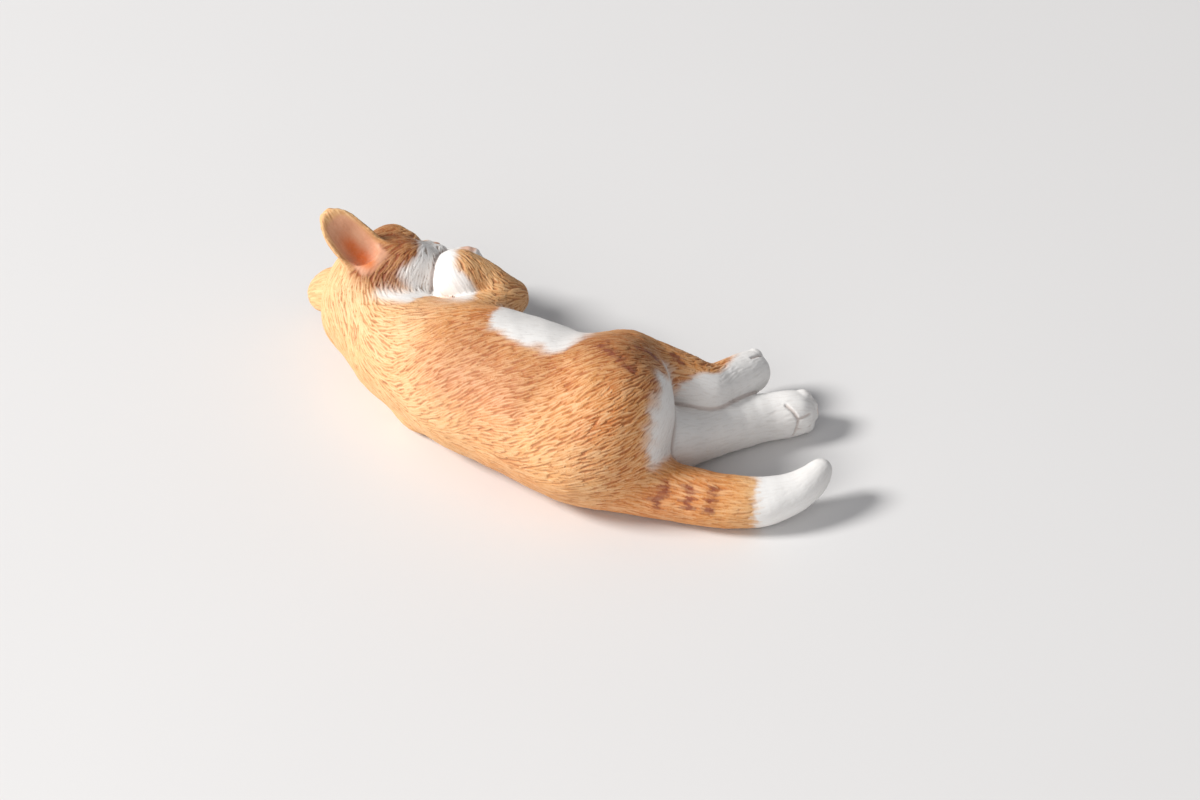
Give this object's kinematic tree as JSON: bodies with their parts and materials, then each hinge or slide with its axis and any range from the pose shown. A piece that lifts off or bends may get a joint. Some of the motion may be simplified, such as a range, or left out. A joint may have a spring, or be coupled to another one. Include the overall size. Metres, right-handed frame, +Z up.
{
  "type": "sleeping cat figurine",
  "caption": "Painted ceramic cat figurine asleep on its left side, legs out, tail curled, one forepaw on its cheek; rests flat on a shelf.",
  "frame": {"origin": "on the resting plane, under the middle of the figurine's bounding box", "axes": "+X along the figurine from head to tail and hind feet, +Y from the back towards the belly and paws, +Z up from the resting plane"},
  "size_m": [0.1311, 0.0603, 0.037],
  "materials": {
    "orange_painted_body": "matt, hand-painted fur coat in fine relief, unglazed look",
    "orange_painted_head": "matt, hand-painted fur coat in fine relief, unglazed look",
    "orange_painted_ear": "matt, hand-painted fur coat in fine relief, unglazed look",
    "orange_painted_foreleg": "matt, hand-painted fur coat in fine relief, unglazed look",
    "white_painted_foreleg": "matt, hand-painted fur coat in fine relief, unglazed look",
    "orange_painted_hind_leg": "matt, hand-painted fur coat in fine relief, unglazed look",
    "white_painted_hind_leg": "matt, hand-painted fur coat in fine relief, unglazed look",
    "orange_painted_tail": "matt, hand-painted fur coat in fine relief, unglazed look"
  },
  "bodies": {
    "root": {"body_shell": "orange_painted_body", "head": "orange_painted_head", "right_ear": "orange_painted_ear", "left_ear": "orange_painted_ear", "right_foreleg": "orange_painted_foreleg", "left_foreleg": "white_painted_foreleg", "right_hind_leg": "orange_painted_hind_leg", "left_hind_leg": "white_painted_hind_leg", "tail": "orange_painted_tail"}
  },
  "joints": []
}
